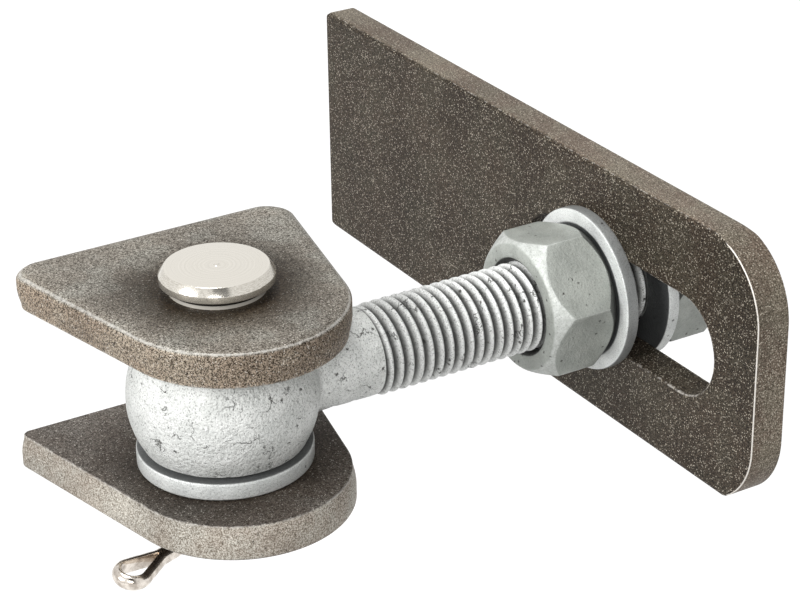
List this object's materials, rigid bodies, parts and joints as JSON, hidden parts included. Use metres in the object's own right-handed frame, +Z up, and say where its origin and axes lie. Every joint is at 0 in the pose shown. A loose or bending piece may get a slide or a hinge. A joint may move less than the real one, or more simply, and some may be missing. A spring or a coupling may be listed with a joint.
{
  "type": "adjustable gate hinge",
  "caption": "Adjustable gate hinge: weld-on ears carry an eye bolt on a clevis pin, and nuts and washers on its thread clamp a slotted plate that is welded to the gate.",
  "frame": {"origin": "where the clevis pin's axis crosses the eye bolt's axis, at the middle of the eye", "axes": "+Z up along the clevis pin towards its head; +Y along the eye bolt from the eye to its threaded end at rest; +X away from the post, from the ears' weld edges to their noses, and along the plate"},
  "size_m": [0.1754, 0.1597, 0.065],
  "materials": {
    "ear_steel": "raw blasted mill steel, speckled",
    "plate_steel": "raw blasted mill steel, speckled, darker",
    "turned_steel": "bright turned stainless, fine concentric tool marks",
    "wire_steel": "bright drawn stainless wire",
    "galvanised_forging": "matte hot-dip zinc over a forging",
    "galvanised_nut": "matte hot-dip zinc",
    "galvanised_washer": "matte hot-dip zinc"
  },
  "bodies": {
    "bracket": {"upper_ear": "ear_steel", "lower_ear": "ear_steel"},
    "upper_washer": {"upper_thrust_washer": "galvanised_washer"},
    "lower_washer": {"lower_thrust_washer": "galvanised_washer"},
    "pin": {"clevis_pin": "turned_steel", "split_pin": "wire_steel"},
    "bolt": {"eye_bolt": "galvanised_forging"},
    "clamp": {"front_washer": "galvanised_washer", "rear_washer": "galvanised_washer"},
    "front_nut": {"front_nut": "galvanised_nut"},
    "rear_nut": {"rear_nut": "galvanised_nut"},
    "plate": {"slotted_plate": "plate_steel"}
  },
  "joints": [
    {"name": "gate_swing", "type": "hinge", "parent": "bracket", "child": "bolt", "pos_m": [0, 0, 0], "axis": [0, 0, 1], "range_deg": [-180, 0]},
    {"name": "pin_turn", "type": "hinge", "parent": "bracket", "child": "pin", "pos_m": [0, 0, 0], "axis": [0, 0, 1], "continuous": true},
    {"name": "upper_washer_turn", "type": "hinge", "parent": "bracket", "child": "upper_washer", "pos_m": [0, 0, 0.013], "axis": [0, 0, 1], "continuous": true},
    {"name": "lower_washer_turn", "type": "hinge", "parent": "bracket", "child": "lower_washer", "pos_m": [0, 0, -0.013], "axis": [0, 0, 1], "continuous": true},
    {"name": "reach", "type": "slide", "parent": "bolt", "child": "clamp", "axis": [0, 1, 0], "range_m": [-0.035, 0.007]},
    {"name": "front_nut_turn", "type": "hinge", "parent": "clamp", "child": "front_nut", "pos_m": [0, 0.081, 0], "axis": [0, 1, 0], "range_deg": [-5042, 1010]},
    {"name": "rear_nut_turn", "type": "hinge", "parent": "clamp", "child": "rear_nut", "pos_m": [0, 0.111, 0], "axis": [0, 1, 0], "range_deg": [-5042, 1010]},
    {"name": "plate_shift", "type": "slide", "parent": "clamp", "child": "plate", "axis": [1, 0, 0], "range_m": [-0.0342, 0.0152]}
  ],
  "couplings": [
    {"joint": "front_nut_turn", "follows": "reach", "rad_per_m": 2513.3},
    {"joint": "rear_nut_turn", "follows": "reach", "rad_per_m": 2513.3}
  ]
}
